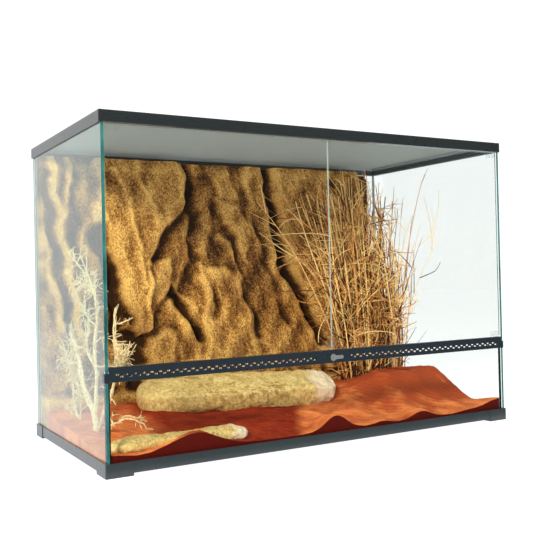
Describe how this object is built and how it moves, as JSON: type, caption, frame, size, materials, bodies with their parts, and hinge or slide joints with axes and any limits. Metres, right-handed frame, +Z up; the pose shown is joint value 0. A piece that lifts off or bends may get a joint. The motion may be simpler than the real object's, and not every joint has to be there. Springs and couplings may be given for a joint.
{
  "type": "glass terrarium",
  "caption": "Front-opening glass terrarium with hinged doors, slotted vent strip, turn latch, lift-off screen cover, corner feet and a desert layout of sand, rock and twigs.",
  "frame": {"origin": "centre of the footprint, on the plane that the four corner feet stand on", "axes": "+X right along the front, +Y to the back, +Z up; the doors face -Y"},
  "size_m": [0.9, 0.45, 0.6],
  "materials": {
    "frame_plastic": "fine moulded satin, charcoal",
    "rim_plastic": "extruded satin charcoal with fine grooves",
    "strip_plastic": "moulded satin blue-black",
    "clear_glass": "clear float glass, green at the cut edges",
    "black_sealant": "cured silicone, soft gloss",
    "clear_sealant": "cured translucent silicone",
    "clear_plastic": "clear moulded polycarbonate",
    "satin_steel": "satin nickel-plated steel",
    "cover_plastic": "satin charcoal",
    "mesh_wire": "woven wire, grey coated",
    "spline_rubber": "extruded rubber cord",
    "rock_foam": "textured sandstone coating, ochre to dark brown",
    "red_sand": "fine dry sand, orange red",
    "pale_stone": "weathered sandstone, yellow beige",
    "pale_root": "sandblasted root wood",
    "dry_twig": "dry bark and straw"
  },
  "bodies": {
    "case": {"base_rail_front": "frame_plastic", "base_rail_back": "frame_plastic", "base_rail_left": "frame_plastic", "base_rail_right": "frame_plastic", "foot_front_left": "frame_plastic", "foot_front_right": "frame_plastic", "foot_back_left": "frame_plastic", "foot_back_right": "frame_plastic", "floor_pane": "clear_glass", "side_pane_left": "clear_glass", "side_pane_right": "clear_glass", "back_pane": "clear_glass", "front_lower_pane": "clear_glass", "seal_floor": "black_sealant", "seal_front_left": "black_sealant", "seal_front_right": "black_sealant", "seal_rear_left": "clear_sealant", "seal_rear_right": "clear_sealant", "vent_strip": "strip_plastic", "strip_cap_left": "strip_plastic", "strip_cap_right": "strip_plastic", "top_rail_front": "rim_plastic", "top_rail_back": "rim_plastic", "top_rail_left": "rim_plastic", "top_rail_right": "rim_plastic", "rim_corner_front_left": "rim_plastic", "rim_corner_front_right": "rim_plastic", "rim_corner_back_left": "rim_plastic", "rim_corner_back_right": "rim_plastic", "door_stop": "clear_plastic", "rock_wall": "rock_foam", "sand_bed": "red_sand", "stone_ledge": "pale_stone", "flat_stone": "pale_stone", "root_branches": "pale_root", "twig_bundle": "dry_twig"},
    "door_left": {"door_glass_left": "clear_glass", "shoe_left_lower": "clear_plastic", "shoe_left_upper": "clear_plastic", "door_catch_left": "satin_steel"},
    "door_right": {"door_glass_right": "clear_glass", "shoe_right_lower": "clear_plastic", "shoe_right_upper": "clear_plastic", "door_catch_right": "satin_steel"},
    "screen_cover": {"cover_rail_front": "cover_plastic", "cover_rail_back": "cover_plastic", "cover_rail_left": "cover_plastic", "cover_rail_right": "cover_plastic", "cover_mesh": "mesh_wire", "cover_spline": "spline_rubber"},
    "latch": {"latch_lever": "satin_steel", "latch_shaft": "satin_steel", "latch_cam": "satin_steel", "latch_screw": "satin_steel"}
  },
  "joints": [
    {"name": "door_left_hinge", "type": "hinge", "parent": "case", "child": "door_left", "pos_m": [-0.434, -0.218, 0.38], "axis": [0, 0, -1], "range_deg": [0, 120]},
    {"name": "door_right_hinge", "type": "hinge", "parent": "case", "child": "door_right", "pos_m": [0.434, -0.218, 0.38], "axis": [0, 0, 1], "range_deg": [0, 120]},
    {"name": "screen_cover_lift", "type": "slide", "parent": "case", "child": "screen_cover", "axis": [0, 0, 1], "range_m": [0, 0.06]},
    {"name": "latch_turn", "type": "hinge", "parent": "case", "child": "latch", "pos_m": [0, -0.218, 0.1655], "axis": [0, 1, 0], "range_deg": [0, 90]}
  ]
}
